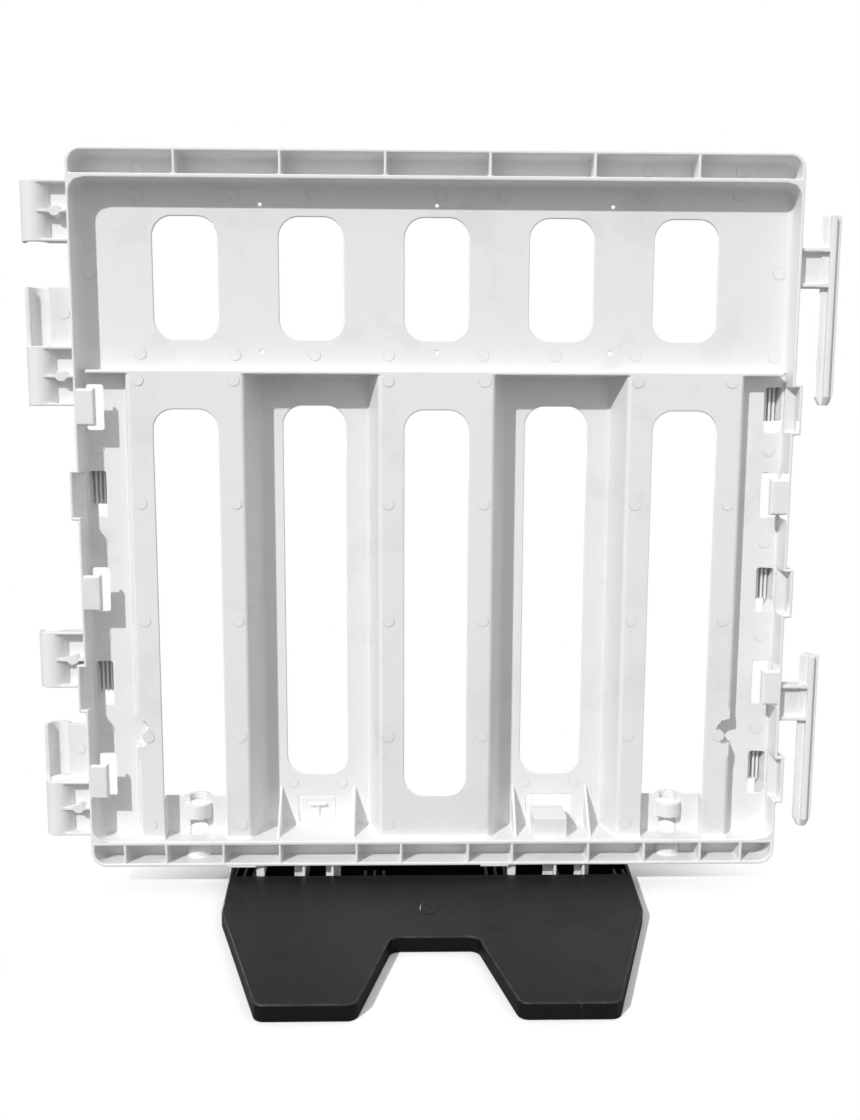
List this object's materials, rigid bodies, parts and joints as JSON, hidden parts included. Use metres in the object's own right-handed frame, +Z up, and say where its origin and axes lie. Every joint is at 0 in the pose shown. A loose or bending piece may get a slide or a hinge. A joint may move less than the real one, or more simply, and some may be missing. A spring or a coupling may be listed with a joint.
{
  "type": "pedestrian barrier panel",
  "caption": "White moulded pedestrian barrier panel with slots and link pins at its edges, standing in a flat black foot that it lifts out of.",
  "frame": {"origin": "on the ground under the panel's middle plane, halfway along the panel", "axes": "+X along the panel towards the link pins, +Y from the ribbed side to the smooth side, +Z up"},
  "size_m": [1.125, 0.419, 1.048],
  "materials": {
    "panel_plastic": "white moulded polyethylene, satin",
    "foot_plastic": "black moulded plastic, satin"
  },
  "bodies": {
    "foot": {"foot_shell": "foot_plastic", "foot_ribs": "foot_plastic", "left_socket_ribs": "foot_plastic", "right_socket_ribs": "foot_plastic"},
    "panel": {"top_rail": "panel_plastic", "sign_face": "panel_plastic", "mid_rail": "panel_plastic", "bottom_rail": "panel_plastic", "left_stile": "panel_plastic", "right_stile": "panel_plastic", "left_pilaster": "panel_plastic", "centre_pilaster": "panel_plastic", "right_pilaster": "panel_plastic", "left_recess_panel": "panel_plastic", "right_recess_panel": "panel_plastic", "gussets": "panel_plastic", "left_peg_socket": "panel_plastic", "right_peg_socket": "panel_plastic", "left_edge_tabs": "panel_plastic", "right_edge_tabs": "panel_plastic", "left_catch_boxes": "panel_plastic", "right_catch_boxes": "panel_plastic", "upper_knuckles": "panel_plastic", "lower_knuckles": "panel_plastic", "upper_link_pin": "panel_plastic", "lower_link_pin": "panel_plastic", "latch_hook": "panel_plastic", "left_base_lugs": "panel_plastic", "right_base_lugs": "panel_plastic"},
    "tongue": {"latch_tongue": "panel_plastic"}
  },
  "joints": [
    {"name": "panel_lift", "type": "slide", "parent": "foot", "child": "panel", "axis": [0, 0, 1], "range_m": [0, 0.06]},
    {"name": "tongue_flex", "type": "hinge", "parent": "panel", "child": "tongue", "pos_m": [-0.17475, 0.0465, 0.08125], "axis": [1, 0, 0], "range_deg": [-8, 8], "stiffness_Nm_per_rad": 1}
  ]
}
